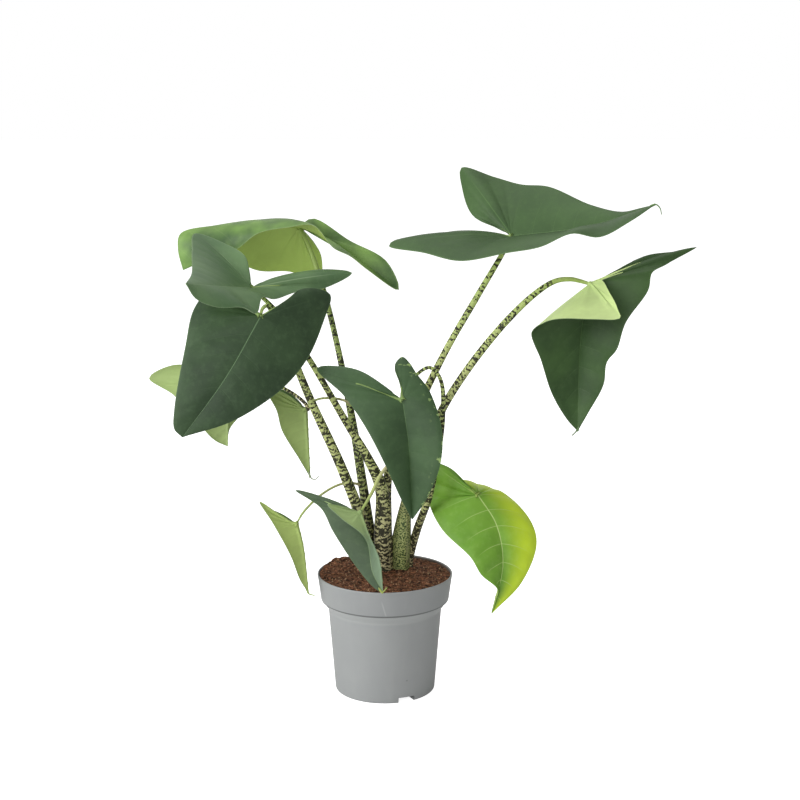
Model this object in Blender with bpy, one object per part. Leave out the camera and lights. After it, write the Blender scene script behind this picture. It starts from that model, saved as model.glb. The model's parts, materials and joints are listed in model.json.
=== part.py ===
"""Potted alocasia: a grey nursery pot, its potting mix, and eleven arrowhead leaves on tapering stalks.

Everything is drawn in millimetres and built in metres. +Z is up, the origin is the centre of the pot's
underside, and -Y is the side of the plant that faces out.
"""
import math

import bmesh
import bpy
import numpy as np
from mathutils import Matrix, Vector

MM = 0.001

# pot, millimetres
POT_HEIGHT = 151.0
BASE_RADIUS = 62.8
BASE_CORNER = 2.6
BODY_TOP_RADIUS = 71.3
BODY_TOP = 106.0
COLLAR_RADIUS = 80.2
COLLAR_BOTTOM = 119.5
COLLAR_SLOPE = ((1.4, 3.5), (4.7, 7.6), (7.9, 10.6))  # out from the body's top, and up from it
RIM_RADIUS = 85.0
RIM_NECK = 1.6  # how much slimmer the collar is just under the rim
RIM_BAND = 5.0  # from there up to the top
RIM_ROUND = 0.6
WALL = 1.5
POT_SIDES = 48
NOTCH_ANGLES = (-64.0, 56.0, 176.0)
NOTCH_WIDTH = 22.0
NOTCH_HEIGHT = 7.0
NOTCH_DEPTH = 30.0
NOTCH_PAST = 31.0  # how far the blocks that cut the recesses reach past the pot's base
DRAIN_HOLE_RADIUS = 4.0
DRAIN_HOLE_CIRCLE = 38.0
DRAIN_HOLES = 6
DRAIN_TURN = 0.41  # the holes' turn from +X, as a share of their spacing
DRAIN_SIDES = 12

# potting mix, millimetres
MIX_TOP = 146.0
MIX_EDGE_DROP = 2.5
MIX_SIDES = 40
CLEARANCE = 0.4

# plant, millimetres
BLADE_THICKNESS = 1.2
STALK_GAP = 5.0
TIP_TAPER = 0.8
NOTCH_COLUMNS = 4
LOBE_COLUMNS = 3
RIB_COLUMNS = 6
BLADE_ROWS = 3
SPAN_STEPS = 12  # steps of a margin's curve between two of its points
STALK_STEPS = 3
SHOULDER = 0.3  # share of the outer edge, from the lobe, whose veins start at the joint

# Each blade is drawn from the point where its stalk joins it. "rib" runs from there to the apex. Each half's
# margin runs from there round the notch to the lobe's tip, and on along the outer edge to the apex. Left and
# right are as seen on the upper side with the apex ahead. All are offsets from the joint, in millimetres.
LEAVES = {
    "upper_right": dict(
        joint=(157, 40, 571), rib=[(85, -48, 16), (162, -95, 47)], bow=0.05,
        left=dict(notch=[(-19, 12, 10), (-47, 42, 22), (-59, 72, 51)], lobe=(-60, 88, 79),
                  edge=[(-18, 76, 68), (14, 58, 60), (47, 32, 59), (94, -22, 41), (128, -62, 36),
                        (147, -83, 42)]),
        right=dict(notch=[(-20, 2, -4), (-64, 12, -3), (-79, 18, 3), (-94, 16, 1), (-123, 10, -3),
                          (-146, 2, -5)], lobe=(-152, -8, -11),
                   edge=[(-111, -32, -16), (-66, -60, -23), (-12, -82, -11), (27, -98, -2), (64, -100, 14),
                         (96, -104, 10), (130, -102, 27)])),
    "far_right": dict(
        joint=(252, 10, 515), rib=[(-8, 14, -59), (-11, 12, -128), (-12, -2, -184)], bow=0.04,
        left=dict(notch=[(30, 4, 15), (68, 10, 34), (104, 14, 39)], lobe=(131, 12, 45),
                  edge=[(95, 2, 26), (74, -10, 16), (69, -16, -5), (42, -18, -45), (32, -18, -78),
                        (21, -10, -96), (18, -8, -124), (1, -2, -160)]),
        right=dict(notch=[(11, -10, 7), (19, -48, -5), (24, -82, -18)], lobe=(24, -102, -28),
                   edge=[(-7, -94, -30), (-41, -76, -32), (-59, -42, -42), (-72, -14, -60), (-59, -4, -94),
                         (-44, 2, -138), (-25, 0, -170)], shoulder=0.5, bow=-0.02)),
    "centre": dict(
        joint=(22, -60, 384), rib=[(7, -6, -51), (12, -16, -144)], bow=0.05,
        left=dict(notch=[(-2, 8, 17), (-9, 22, 36), (-7, 30, 43)], lobe=(0, 33, 48),
                  edge=[(8, 28, 42), (17, 18, 30), (33, 6, 10), (47, -10, -33), (46, -18, -71),
                        (31, -20, -113)]),
        right=dict(notch=[(-26, -2, 21), (-57, 6, 37)], lobe=(-104, 24, 35),
                   edge=[(-71, 2, 6), (-45, -16, -28), (-22, -26, -70), (0, -24, -119)])),
    "front_left": dict(
        joint=(-146, -68, 487), rib=[(-40, -24, -69), (-91, -40, -138)], bow=0.05,
        left=dict(notch=[(19, 10, 4), (48, 38, 28)], lobe=(81, 54, 19),
                  edge=[(74, 40, -10), (55, 16, -53), (24, -8, -87), (-31, -30, -120)]),
        right=dict(notch=[(-13, 10, 10), (-34, 24, 21)], lobe=(-60, 38, 29),
                   edge=[(-80, 14, 8), (-89, -12, -36), (-100, -38, -105), (-100, -41, -128)])),
    "upper_left": dict(
        joint=(-162, 0, 512), rib=[(-31, -76, 12), (-62, -142, 24)], bow=0.04,
        left=dict(notch=[(24, 16, 10), (57, 32, 16), (94, 43, 18)], lobe=(122, 46, 13),
                  edge=[(90, 26, -3), (57, 2, -4), (31, -30, -9), (18, -50, -4), (13, -88, -18),
                        (-1, -102, -9), (-28, -122, -6), (-51, -138, 6)]),
        right=dict(notch=[(-3, 9, 20), (-9, 18, 37), (-33, 32, 50)], lobe=(-71, 40, 63),
                   edge=[(-70, -8, 47), (-62, -84, 29)])),
    "top_left": dict(
        joint=(-110, 110, 576), bow=0.05,
        rib=[(-46, -6, 9), (-105, -13, 3), (-149, -19, -7), (-152, -24, -27), (-146, -26, -53)],
        left=dict(notch=[(18, -6, 11), (66, -22, -16), (112, -36, -40)], lobe=(128, -44, -75),
                  edge=[(89, -54, -48), (68, -57, -31), (47, -60, -20), (22, -60, 8), (-8, -62, 6),
                        (-47, -60, -2), (-75, -52, -23), (-120, -38, -41)]),
        right=dict(notch=[(16, 14, -18), (27, 32, -42)], lobe=(22, 48, -78),
                   edge=[(-14, 52, -64), (-57, 50, -62), (-98, 36, -42), (-131, 8, -34)])),
    "hidden_left": dict(
        joint=(-196, -10, 397), rib=[(4, -8, -40), (4, -15, -78)], bow=0.05,
        left=dict(notch=[(-25, 4, 14), (-62, 10, 20)], lobe=(-95, 16, 2),
                  edge=[(-64, 4, -17), (-40, -8, -40), (-13, -17, -69)]),
        right=dict(notch=[(9, 12, 10)], lobe=(27, 28, 27),
                   edge=[(37, 18, 2), (25, 2, -33), (6, -12, -58)])),
    "small_left": dict(
        joint=(-99, 20, 356), rib=[(2, -3, -35), (5, -8, -85)], bow=0.05,
        left=dict(notch=[(-9, -2, 9), (-28, -10, 25)], lobe=(-49, -16, 32),
                  edge=[(-35, -20, 3), (-29, -18, -22), (-9, -12, -59)]),
        right=dict(notch=[(-8, 7, 10), (-21, 14, 19)], lobe=(-38, 22, 24),
                   edge=[(-18, 28, -1), (-7, 24, -33), (2, 4, -68)])),
    "low_left": dict(
        joint=(-109, -30, 222), rib=[(7, -3, -29), (14, -6, -87)], bow=0.05,
        left=dict(notch=[(-22, -1, 13)], lobe=(-45, -6, 30),
                  edge=[(-28, -16, 5), (-7, -18, -35), (4, -12, -68)]),
        right=dict(notch=[(-13, 10, 6)], lobe=(-35, 22, 14),
                   edge=[(-15, 30, -15), (0, 26, -48), (10, 8, -74)])),
    "low_front": dict(
        joint=(-30, -55, 243), rib=[(9, -5, -25), (23, -19, -54), (28, -37, -90)], bow=0.04,
        left=dict(notch=[(-18, -9, 11)], lobe=(-39, -19, 16),
                  edge=[(-23, -27, 1), (7, -29, -25), (15, -37, -63)]),
        right=dict(notch=[(-31, 5, 14)], lobe=(-80, 19, 24),
                   edge=[(-48, 8, 4), (-33, -3, -22), (-7, -17, -59), (17, -33, -84)])),
    "low_right": dict(
        joint=(116, -10, 254), rib=[(22, -18, -33), (30, -32, -79), (17, -32, -144)], bow=0.06,
        left=dict(notch=[(-9, 20, 4)], lobe=(-23, 42, 10),
                  edge=[(11, 46, 0), (40, 32, -9), (68, 2, -36), (73, -14, -61), (54, -28, -105)]),
        right=dict(notch=[(-16, 4, 15), (-37, 13, 33)], lobe=(-56, 17, 36),
                   edge=[(-62, 20, -8), (-46, -14, -39), (-10, -44, -68), (3, -44, -90), (24, -40, -110),
                         (22, -36, -125)])),
}

# Each stalk from its foot to just short of its blade: (x, y, z, diameter), millimetres.
STALKS = {
    "front_left": [(-22, 14, 146.5, 15), (-22, 14, 156, 14.6), (-28, 2, 213, 14.6), (-52, -8, 285, 12.5),
                   (-91, -20, 378, 10.2), (-117, -34, 449, 7.8), (-133, -43, 486, 5.5), (-139, -50, 497, 4.8),
                   (-144, -58, 495, 4.4)],
    "top_left": [(-12, 36, 146.5, 14), (-12, 36, 156, 14), (-19, 28, 199, 13), (-28, 18, 262, 12),
                 (-39, 26, 331, 10), (-54, 46, 406, 8), (-76, 80, 492, 7), (-97, 98, 553, 5.2)],
    "upper_left": [(-1, 17, 146.5, 24), (-1, 17, 156, 24), (-2, 12, 197, 23.5), (-4, 7, 257, 16.5),
                   (-21, 2, 298, 12), (-51, -2, 351, 9), (-93, -10, 427, 7.2), (-133, -10, 486, 6)],
    "upper_right": [(4, 42, 146.5, 12), (4, 42, 156, 12), (3, 31, 205, 12), (6, 18, 283, 11),
                    (29, 8, 335, 10), (75, 12, 431, 8.5), (114, 22, 498, 7.8), (146, 34, 551, 6.2)],
    "far_right": [(20.5, 27, 146.5, 21.5), (20.5, 27, 156, 21.3), (24, 22, 190, 19), (29, 15, 242, 13),
                  (49, 6, 308, 10.5), (78.5, 0, 374, 10), (131, -2, 450, 9), (180, 0, 501.5, 7.5),
                  (208, 4, 519.5, 6.4), (227, 8, 521.5, 5.8), (240.5, 12, 518.5, 5.2)],
    "centre": [(35, 35, 146.5, 10.6), (35, 35, 156, 10.6), (41, 18, 199, 10.4), (54, -15, 250, 9.2),
               (61, -20, 283, 8.4), (71, -25, 352, 6.4), (70, -27, 397, 5), (63, -30, 413, 4.6),
               (54, -32, 419, 4.4), (40, -33, 411, 4.2), (28, -46, 393, 4)],
    "low_front": [(5, 3, 290, 4.6), (-5, -10, 280, 4.4), (-17, -28, 259, 4.2)],
    "hidden_left": [(-97, -16, 371, 4.4), (-106, -14, 379, 4.2), (-124, -12, 390, 4), (-159, -8, 404, 3.6),
                    (-183, -13, 405, 3.2)],
    "small_left": [(-50, 28, 366, 3.2), (-68, 25, 370, 3), (-86, 22, 368, 2.8)],
    "low_left": [(-36, 12, 263, 3.4), (-54, 7, 264, 3.2), (-79, -8, 254, 3), (-101, -24, 235, 2.9)],
    "low_right": [(44, 14, 255, 5), (51, 14, 276, 4.6), (65, 18, 283, 4.2), (84, 15, 271, 4),
                  (97, 9, 259, 3.8), (107, -1, 249, 3.6)],
}

# linear colours
POT_GREY = (0.33, 0.34, 0.34)
MIX_BROWN = (0.10, 0.045, 0.022)
DARK_GREEN = (0.035, 0.085, 0.03)
LIGHT_GREEN = (0.12, 0.25, 0.05)
YOUNG_GREEN = (0.28, 0.48, 0.04)
STALK_GREEN = (0.35, 0.4, 0.12)
YOUNG_LEAVES = ("low_right",)
LIGHT_LEAVES = ("top_left", "hidden_left", "small_left", "low_left")


def material(name, colour, roughness, metallic=0.0):
    mat = bpy.data.materials.new(name)
    mat.use_nodes = True
    shader = mat.node_tree.nodes["Principled BSDF"]
    shader.inputs["Base Color"].default_value = (*colour, 1.0)
    shader.inputs["Roughness"].default_value = roughness
    shader.inputs["Metallic"].default_value = metallic
    mat.diffuse_color = (*colour, 1.0)
    return mat


def curve_through(points, per_span):
    """Points along a smooth curve through the given ones, per_span to each stretch between two."""
    pts = [np.array(p, float) for p in points]
    pts = [2 * pts[0] - pts[1]] + pts + [2 * pts[-1] - pts[-2]]
    out = []
    for a, b, c, d in zip(pts, pts[1:], pts[2:], pts[3:]):
        knots = [0.0]
        for p, q in ((a, b), (b, c), (c, d)):
            knots.append(knots[-1] + max(np.linalg.norm((q - p)[:3]), 1e-6) ** 0.5)
        t0, t1, t2, t3 = knots
        for t in np.linspace(t1, t2, per_span, endpoint=False):
            ab = (t1 - t) / (t1 - t0) * a + (t - t0) / (t1 - t0) * b
            bc = (t2 - t) / (t2 - t1) * b + (t - t1) / (t2 - t1) * c
            cd = (t3 - t) / (t3 - t2) * c + (t - t2) / (t3 - t2) * d
            abc = (t2 - t) / (t2 - t0) * ab + (t - t0) / (t2 - t0) * bc
            bcd = (t3 - t) / (t3 - t1) * bc + (t - t1) / (t3 - t1) * cd
            out.append((t2 - t) / (t2 - t1) * abc + (t - t1) / (t2 - t1) * bcd)
    out.append(pts[-2])
    return np.array(out)


def points_at(path, shares):
    """The points at the given shares of the path's length."""
    steps = np.r_[0, np.cumsum(np.linalg.norm(np.diff(path, axis=0), axis=1))]
    return np.stack([np.interp(shares * steps[-1], steps, path[:, k]) for k in range(3)], axis=1)


def half_blade(leaf, side):
    """A grid of points over one half of a blade: [column round the margin][row out from the rib]."""
    half = leaf[side]
    apex = leaf["rib"][-1]
    per_span = SPAN_STEPS
    margin = curve_through([(0, 0, 0), *half["notch"], half["lobe"], *half["edge"], apex], per_span)
    lobe_at = per_span * (len(half["notch"]) + 1)
    shoulder = half.get("shoulder", SHOULDER)
    on_rib = np.linspace(0, 1, RIB_COLUMNS + 1)[1:]
    notch = points_at(margin[:lobe_at + 1], np.linspace(0, 1, NOTCH_COLUMNS + 1))
    lobe = points_at(margin[lobe_at:], np.linspace(0, shoulder, LOBE_COLUMNS + 1)[1:])
    edge = points_at(margin[lobe_at:], shoulder + (1 - shoulder) * on_rib)
    rib = points_at(curve_through([(0, 0, 0), *leaf["rib"]], per_span), on_rib)
    outer = np.concatenate([notch, lobe, edge])
    inner = np.concatenate([np.zeros_like(notch), np.zeros_like(lobe), rib])
    reach = outer - inner
    travel = np.gradient(outer, axis=0)
    normal = np.cross(reach, travel) * (1 if side == "right" else -1)
    normal /= np.maximum(np.linalg.norm(normal, axis=1), 1e-9)[:, None]
    lift = half.get("bow", leaf["bow"]) * np.linalg.norm(reach, axis=1)[:, None]
    grid = []
    for s in np.linspace(0, 1, BLADE_ROWS + 1):
        grid.append(inner + reach * s + normal * lift * 4 * s * (1 - s))
    return np.stack(grid, axis=1)


def make_blade(name, leaf, mat):
    """A closed thin blade: both halves share the rib, and the sheet gets its thickness from Solidify."""
    bm = bmesh.new()
    joint = np.array(leaf["joint"], float)
    for side in ("left", "right"):
        grid = (half_blade(leaf, side) + joint) * MM
        verts = [[bm.verts.new(p) for p in column] for column in grid]
        for near, far in zip(verts, verts[1:]):
            for row in range(BLADE_ROWS):
                corners = (near[row], near[row + 1], far[row + 1], far[row])
                bm.faces.new(corners if side == "right" else corners[::-1])
    bmesh.ops.remove_doubles(bm, verts=bm.verts, dist=0.0002)
    bmesh.ops.triangulate(bm, faces=bm.faces)
    mesh = bpy.data.meshes.new(name)
    bm.to_mesh(mesh)
    bm.free()
    obj = bpy.data.objects.new(name, mesh)
    bpy.context.collection.objects.link(obj)
    obj.data.materials.append(mat)
    mesh.shade_smooth()
    solid = obj.modifiers.new("thickness", "SOLIDIFY")
    solid.thickness = BLADE_THICKNESS * MM
    solid.offset = 0.0
    return obj


def make_stalk(name, points, joint, mat):
    """A tapering round stalk. Its last point stops STALK_GAP short of the joint."""
    last = np.array(points[-1], float)
    towards = np.array(joint, float) - last[:3]
    reach = np.linalg.norm(towards)
    end = last[:3] + towards * (1 - STALK_GAP / reach)
    route = curve_through([*points, (*end, last[3] * TIP_TAPER)], STALK_STEPS)
    curve = bpy.data.curves.new(name, "CURVE")
    curve.dimensions = "3D"
    curve.bevel_depth = MM
    curve.bevel_resolution = 2
    curve.use_fill_caps = True
    spline = curve.splines.new("POLY")
    spline.points.add(len(route) - 1)
    for point, (x, y, z, diameter) in zip(spline.points, route):
        point.co = (x * MM, y * MM, z * MM, 1)
        point.radius = diameter / 2
    obj = bpy.data.objects.new(name, curve)
    bpy.context.collection.objects.link(obj)
    curve.materials.append(mat)
    return obj


def turned(name, profile, sides=POT_SIDES):
    """A solid of revolution about Z from (radius, height) points, both ends of the profile on the axis."""
    bm = bmesh.new()
    rings = []
    for radius, height in profile:
        if radius == 0:
            rings.append([bm.verts.new((0, 0, height * MM))])
            continue
        angles = [2 * math.pi * i / sides for i in range(sides)]
        rings.append([bm.verts.new((radius * math.cos(a) * MM, radius * math.sin(a) * MM, height * MM))
                      for a in angles])
    for low, high in zip(rings, rings[1:]):
        for i in range(sides):
            j = (i + 1) % sides
            if len(low) == 1:
                bm.faces.new((low[0], high[j], high[i]))
            elif len(high) == 1:
                bm.faces.new((low[i], low[j], high[0]))
            else:
                bm.faces.new((low[i], low[j], high[j], high[i]))
    mesh = bpy.data.meshes.new(name)
    bm.to_mesh(mesh)
    bm.free()
    obj = bpy.data.objects.new(name, mesh)
    bpy.context.collection.objects.link(obj)
    return obj


def block(name, size, centre, angle=0.0):
    """A box of the given size, its centre turned about Z by angle degrees."""
    bm = bmesh.new()
    bmesh.ops.create_cube(bm, size=1.0)
    place = Matrix.Rotation(math.radians(angle), 4, "Z") @ Matrix.Translation(Vector(centre) * MM)
    bmesh.ops.transform(bm, matrix=place @ Matrix.Diagonal((*[s * MM for s in size], 1)), verts=bm.verts)
    mesh = bpy.data.meshes.new(name)
    bm.to_mesh(mesh)
    bm.free()
    obj = bpy.data.objects.new(name, mesh)
    bpy.context.collection.objects.link(obj)
    return obj


def cut(obj, cutter):
    """Take the cutter away from the object, and keep the cutter as a hidden guide."""
    cutter.hide_render = True
    cutter.display_type = "WIRE"
    cutter.hide_set(True)
    boolean = obj.modifiers.new("cut " + cutter.name, "BOOLEAN")
    boolean.operation = "DIFFERENCE"
    boolean.solver = "EXACT"
    boolean.object = cutter


def pot_outline(inset):
    """The pot's outside from the axis at the base up to the collar, moved in by inset and up by it there."""
    flat = BASE_RADIUS - BASE_CORNER
    outline = [(0, inset), (flat, inset)]
    outline.append((BASE_RADIUS - inset, BASE_CORNER * 0.4 + inset * 0.7))
    outline.append((BASE_RADIUS - inset, BASE_CORNER + inset * 0.5))
    outline.append((BODY_TOP_RADIUS - inset, BODY_TOP + inset * 0.4))
    for out, up in COLLAR_SLOPE:
        outline.append((BODY_TOP_RADIUS + out - inset, BODY_TOP + up + inset * 0.5))
    outline.append((COLLAR_RADIUS - inset, COLLAR_BOTTOM))
    return outline


def recess_block(name, angle, grow=0.0, back=0.0):
    """The block of one drain recess at the pot's foot, larger by grow, and starting back nearer the axis."""
    length = NOTCH_DEPTH + NOTCH_PAST + back
    middle = BASE_RADIUS - NOTCH_DEPTH - back + length / 2
    size = (length, NOTCH_WIDTH + 2 * grow, 2 * (NOTCH_HEIGHT + grow))
    return block(name, size, (middle, 0, 0), angle)


def make_pot(mat):
    """One moulded shell: tapering body, stepped collar, round rim, raised drain recesses and floor holes."""
    neck = (RIM_RADIUS - RIM_NECK, POT_HEIGHT - RIM_BAND)
    outside = pot_outline(0.0) + [neck, (RIM_RADIUS, POT_HEIGHT - 2 * RIM_ROUND)]
    outside += [(RIM_RADIUS - RIM_ROUND, POT_HEIGHT), (0, POT_HEIGHT)]
    pot = turned("pot", outside)
    inner = RIM_RADIUS - RIM_ROUND - WALL
    inside = pot_outline(WALL) + [(neck[0] - WALL, neck[1]), (inner, POT_HEIGHT - 2 * RIM_ROUND)]
    inside += [(inner, POT_HEIGHT + RIM_BAND), (0, POT_HEIGHT + RIM_BAND)]
    hollow = turned("pot_hollow", inside)
    for number, angle in enumerate(NOTCH_ANGLES):
        cut(pot, recess_block(f"notch_{number}", angle))
        cut(hollow, recess_block(f"over_notch_{number}", angle, WALL, WALL))
    cut(pot, hollow)
    for number in range(DRAIN_HOLES):
        angle = 2 * math.pi * (number + DRAIN_TURN) / DRAIN_HOLES
        depth = 2 * WALL
        profile = [(0, -depth), (DRAIN_HOLE_RADIUS, -depth), (DRAIN_HOLE_RADIUS, depth), (0, depth)]
        hole = turned(f"drain_{number}", profile, DRAIN_SIDES)
        hole.location = Vector((math.cos(angle), math.sin(angle), 0)) * DRAIN_HOLE_CIRCLE * MM
        cut(pot, hole)
    pot.data.materials.append(mat)
    round_off(pot)
    return pot


def make_mix(mat):
    """The plug of potting mix, a little clear of the pot all round and over its drain recesses."""
    gap = WALL + CLEARANCE
    top_radius = RIM_RADIUS - RIM_NECK - MIX_EDGE_DROP / 2 - gap
    outline = pot_outline(gap) + [(top_radius, MIX_TOP - MIX_EDGE_DROP), (top_radius, MIX_TOP), (0, MIX_TOP)]
    mix = turned("potting_mix", outline, MIX_SIDES)
    for number, angle in enumerate(NOTCH_ANGLES):
        cut(mix, recess_block(f"mix_recess_{number}", angle, gap, gap))
    mix.data.materials.append(mat)
    round_off(mix)
    return mix


def round_off(obj):
    """Shade the object's curved sides smooth and keep its corners sharp."""
    obj.data.shade_smooth()
    obj.data.set_sharp_from_angle(angle=math.radians(35))


def build():
    for obj in list(bpy.data.objects):
        bpy.data.objects.remove(obj, do_unlink=True)
    make_pot(material("grey plastic", POT_GREY, 0.45))
    make_mix(material("coir and peat", MIX_BROWN, 0.95))
    for name, leaf in LEAVES.items():
        make_blade("leaf_" + name, leaf, material("blade " + name, leaf_colour(name), 0.4))
        banded = material("banded stalk " + name, STALK_GREEN, 0.45)
        make_stalk("stalk_" + name, STALKS[name], leaf["joint"], banded)


def leaf_colour(name):
    if name in YOUNG_LEAVES:
        return YOUNG_GREEN
    if name in LIGHT_LEAVES:
        return LIGHT_GREEN
    return DARK_GREEN


build()
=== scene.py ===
import json
import math
import random

import bpy
import numpy as np
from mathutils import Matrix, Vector, noise


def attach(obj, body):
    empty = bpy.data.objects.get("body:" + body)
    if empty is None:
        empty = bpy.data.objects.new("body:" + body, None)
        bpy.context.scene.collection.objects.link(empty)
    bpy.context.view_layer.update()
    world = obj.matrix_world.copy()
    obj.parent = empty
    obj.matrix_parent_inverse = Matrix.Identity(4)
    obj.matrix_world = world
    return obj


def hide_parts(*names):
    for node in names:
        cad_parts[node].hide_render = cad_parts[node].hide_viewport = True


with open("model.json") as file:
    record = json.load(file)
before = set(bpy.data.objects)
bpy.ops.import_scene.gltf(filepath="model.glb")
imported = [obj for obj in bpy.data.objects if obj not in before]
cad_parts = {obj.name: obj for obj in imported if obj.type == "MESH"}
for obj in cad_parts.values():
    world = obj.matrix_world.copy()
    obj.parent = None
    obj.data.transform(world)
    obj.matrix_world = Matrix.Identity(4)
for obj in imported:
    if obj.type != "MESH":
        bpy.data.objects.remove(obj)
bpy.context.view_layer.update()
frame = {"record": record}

mm = 0.001


def only(*objects):
    bpy.ops.object.select_all(action="DESELECT")
    for obj in objects:
        obj.select_set(True)
    bpy.context.view_layer.objects.active = objects[0]


def editing(obj):
    only(obj)
    bpy.ops.object.mode_set(mode="EDIT")
    bpy.ops.mesh.select_all(action="SELECT")


def doneEditing():
    bpy.ops.object.mode_set(mode="OBJECT")


def settle(obj):
    # bake the object's own place into its mesh
    only(obj)
    bpy.ops.object.transform_apply(location=True, rotation=True, scale=True)


def modify(obj, kind, **settings):
    only(obj)
    modifier = obj.modifiers.new(kind.title(), kind)
    for key, value in settings.items():
        setattr(modifier, key, value)
    bpy.ops.object.modifier_apply(modifier=modifier.name)


def takeAway(obj, cutter):
    modify(obj, "BOOLEAN", operation="DIFFERENCE", solver="EXACT", object=cutter)
    bpy.data.objects.remove(cutter, do_unlink=True)


def joined(name, *objects):
    only(*objects)
    bpy.ops.object.join()
    objects[0].name = name
    objects[0].data.name = name
    return objects[0]


def place(obj, node, slot):
    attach(obj, "root")
    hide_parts(node)


def curveThrough(points, perSpan):
    # a smooth curve through the points, with perSpan steps between each two
    pts = [np.array(p, float) for p in points]
    pts = [2 * pts[0] - pts[1]] + pts + [2 * pts[-1] - pts[-2]]
    out = []
    for a, b, c, d in zip(pts, pts[1:], pts[2:], pts[3:]):
        knots = [0.0]
        for p, q in ((a, b), (b, c), (c, d)):
            knots.append(knots[-1] + max(np.linalg.norm((q - p)[:3]), 1e-6) ** 0.5)
        t0, t1, t2, t3 = knots
        for t in np.linspace(t1, t2, perSpan, endpoint=False):
            ab = (t1 - t) / (t1 - t0) * a + (t - t0) / (t1 - t0) * b
            bc = (t2 - t) / (t2 - t1) * b + (t - t1) / (t2 - t1) * c
            cd = (t3 - t) / (t3 - t2) * c + (t - t2) / (t3 - t2) * d
            abc = (t2 - t) / (t2 - t0) * ab + (t - t0) / (t2 - t0) * bc
            bcd = (t3 - t) / (t3 - t1) * bc + (t - t1) / (t3 - t1) * cd
            out.append((t2 - t) / (t2 - t1) * abc + (t - t1) / (t2 - t1) * bcd)
    out.append(pts[-2])
    return np.array(out)


def pointsAt(path, shares):
    # the points at these shares of the path's length
    steps = np.r_[0, np.cumsum(np.linalg.norm(np.diff(path[:, :3], axis=0), axis=1))]
    return np.stack([np.interp(np.array(shares) * steps[-1], steps, column) for column in path.T], axis=1)


def gridSheet(name, spots):
    # a grid primitive whose vertices go to spots[column][row]; returns it with each vertex's column and row
    columns, rows = spots.shape[0] - 1, spots.shape[1] - 1
    bpy.ops.object.select_all(action="DESELECT")
    bpy.ops.mesh.primitive_grid_add(x_subdivisions=columns, y_subdivisions=rows, size=1)
    obj = bpy.context.object
    obj.name = name
    flat = np.zeros(len(obj.data.vertices) * 3)
    obj.data.vertices.foreach_get("co", flat)
    flat = flat.reshape(-1, 3)
    column = np.rint((flat[:, 0] + 0.5) * columns).astype(int)
    row = np.rint((flat[:, 1] + 0.5) * rows).astype(int)
    obj.data.vertices.foreach_set("co", spots[column, row].ravel())
    obj.data.update()
    return obj, column, row


def note(obj, name, values, domain="POINT"):
    # keep three numbers at each vertex or face corner, for the materials to read
    if domain == "CORNER":
        corners = np.zeros(len(obj.data.loops), int)
        obj.data.loops.foreach_get("vertex_index", corners)
        values = values[corners]
    layer = obj.data.attributes.new(name, "FLOAT_VECTOR", domain)
    layer.data.foreach_set("vector", np.ascontiguousarray(values, dtype=np.float32).ravel())


def mergeDoubles(obj, distance=1e-6):
    editing(obj)
    bpy.ops.mesh.remove_doubles(threshold=distance)
    doneEditing()


def smooth(obj, angle=40):
    only(obj)
    bpy.ops.object.shade_smooth_by_angle(angle=math.radians(angle))


def tube(name, route, sides, perSpan, caps=3, sheath=0.0, lift=0.0):
    # a tapering tube along (x, y, z, diameter) in millimetres, with rounded ends unless caps is 0
    # it notes where each point would be on the straightened tube, for the patterns
    path = curveThrough(route, perSpan)
    middle, girth = path[:, :3], path[:, 3] / 2
    along = np.r_[0, np.cumsum(np.linalg.norm(np.diff(middle, axis=0), axis=1))]
    forward = np.gradient(middle, axis=0)
    forward /= np.linalg.norm(forward, axis=1)[:, None]
    side = np.cross(forward[0], (0.0, 1.0, 0.02))
    sideways = []
    for step in forward:
        side = side - step * (side @ step)
        side = side / np.linalg.norm(side)
        sideways.append(side)
    sideways = np.array(sideways)
    other = np.cross(forward, sideways)
    rings = list(range(len(path)))
    radii = list(girth)
    shifts = [0.0] * len(path)
    for step in range(1, caps + 1):
        angle = math.radians(90 * step / caps)
        rings = [0] + rings + [len(path) - 1]
        radii = [girth[0] * math.cos(angle)] + radii + [girth[-1] * math.cos(angle)]
        shifts = [-girth[0] * math.sin(angle) * 0.6] + shifts + [girth[-1] * math.sin(angle) * 0.6]
    if caps == 0:
        rings, radii, shifts = [0] + rings + [len(path) - 1], [0.0] + radii + [0.0], [0.0] + shifts + [0.0]
    angles = np.linspace(0, 2 * math.pi, sides + 1)
    spots = np.zeros((sides + 1, len(rings), 3))
    straight = np.zeros((sides + 1, len(rings), 3))
    shares = np.zeros((sides + 1, len(rings), 3))
    for row, (ring, radius, shift) in enumerate(zip(rings, radii, shifts)):
        share = along[ring] / along[-1]
        turned = (angles / (2 * math.pi) + 0.62 + 0.35 * share) % 1.0
        fold = 1 + sheath * max(0.0, 1 - share * 2.4) * (turned - 0.5)  # the sheath wraps over itself
        for column, angle in enumerate(angles):
            swell = fold[column] if column < sides else fold[0]
            outward = (sideways[ring] * math.cos(angle) + other[ring] * math.sin(angle)) * radius * swell
            spots[column, row] = (middle[ring] + outward + forward[ring] * shift) * mm
            straight[column, row] = (radius * math.cos(angle), radius * math.sin(angle), along[ring] + lift)
            shares[column, row] = (share, turned[column] if column < sides else turned[0], radius)
    spots[-1] = spots[0]
    obj, column, row = gridSheet(name, spots)
    note(obj, "straight", straight[column, row] * mm)
    note(obj, "stalkShare", shares[column, row])
    mergeDoubles(obj, 1e-7)
    editing(obj)
    bpy.ops.mesh.normals_make_consistent(inside=False)
    doneEditing()
    return obj


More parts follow.
